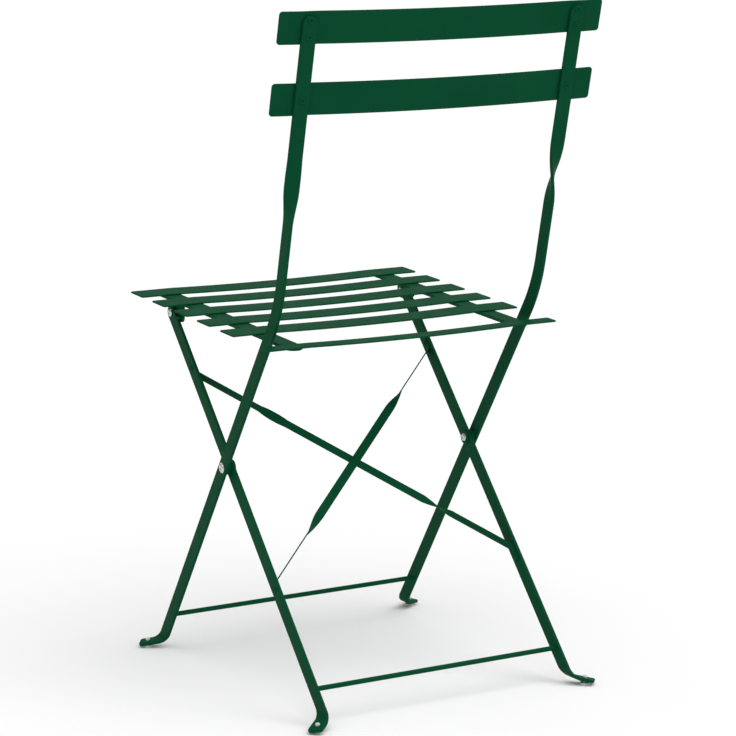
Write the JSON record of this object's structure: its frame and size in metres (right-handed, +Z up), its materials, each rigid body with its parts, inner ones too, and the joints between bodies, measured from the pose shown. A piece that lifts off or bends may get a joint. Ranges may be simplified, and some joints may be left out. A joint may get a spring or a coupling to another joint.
{
  "type": "folding chair",
  "caption": "Folding bistro chair of green painted flat steel bar with crossed legs, a slatted metal seat and two bowed back slats.",
  "frame": {"origin": "centre of the open chair's bounding box, on the floor", "axes": "+Z up, the sitter faces -Y, +X is the sitter's left"},
  "size_m": [0.425, 0.4622, 0.8198],
  "materials": {
    "green_paint": "satin powder coat",
    "zinc": "zinc plated",
    "glide_plastic": "moulded, slightly translucent"
  },
  "bodies": {
    "back_frame": {"left_upright": "green_paint", "right_upright": "green_paint", "top_back_slat": "green_paint", "lower_back_slat": "green_paint", "left_rivet_top": "green_paint", "left_rivet_mid": "green_paint", "left_rivet_low": "green_paint", "right_rivet_top": "green_paint", "right_rivet_mid": "green_paint", "right_rivet_low": "green_paint", "front_cross_rod": "green_paint", "left_main_pivot": "zinc", "right_main_pivot": "zinc", "left_spacer": "green_paint", "right_spacer": "green_paint", "left_pivot_washer": "green_paint", "right_pivot_washer": "green_paint", "left_front_glide": "glide_plastic", "right_front_glide": "glide_plastic"},
    "leg_frame": {"left_rear_leg": "green_paint", "right_rear_leg": "green_paint", "rear_cross_rod": "green_paint", "falling_brace": "green_paint", "rising_brace": "green_paint", "brace_centre_rivet": "green_paint", "left_brace_rivet_up": "green_paint", "left_brace_rivet_dn": "green_paint", "right_brace_rivet_up": "green_paint", "right_brace_rivet_dn": "green_paint", "left_rear_glide": "glide_plastic", "right_rear_glide": "glide_plastic"},
    "seat": {"seat_slat_1": "green_paint", "seat_slat_2": "green_paint", "seat_slat_3": "green_paint", "seat_slat_4": "green_paint", "seat_slat_5": "green_paint", "seat_slat_6": "green_paint", "left_seat_rail": "green_paint", "right_seat_rail": "green_paint", "left_bracket": "green_paint", "right_bracket": "green_paint", "left_seat_pivot": "zinc", "right_seat_pivot": "zinc", "left_stop_pin": "green_paint", "right_stop_pin": "green_paint"}
  },
  "joints": [
    {"name": "leg_fold", "type": "hinge", "parent": "back_frame", "child": "leg_frame", "pos_m": [0, -0.0237, 0.265], "axis": [-1, 0, 0], "range_deg": [0, 62]},
    {"name": "seat_fold", "type": "hinge", "parent": "leg_frame", "child": "seat", "pos_m": [0, -0.17492, 0.43295], "axis": [1, 0, 0], "range_deg": [0, 120.3]}
  ],
  "couplings": [
    {"joint": "seat_fold", "follows": "leg_fold", "ratio": 1.94}
  ]
}
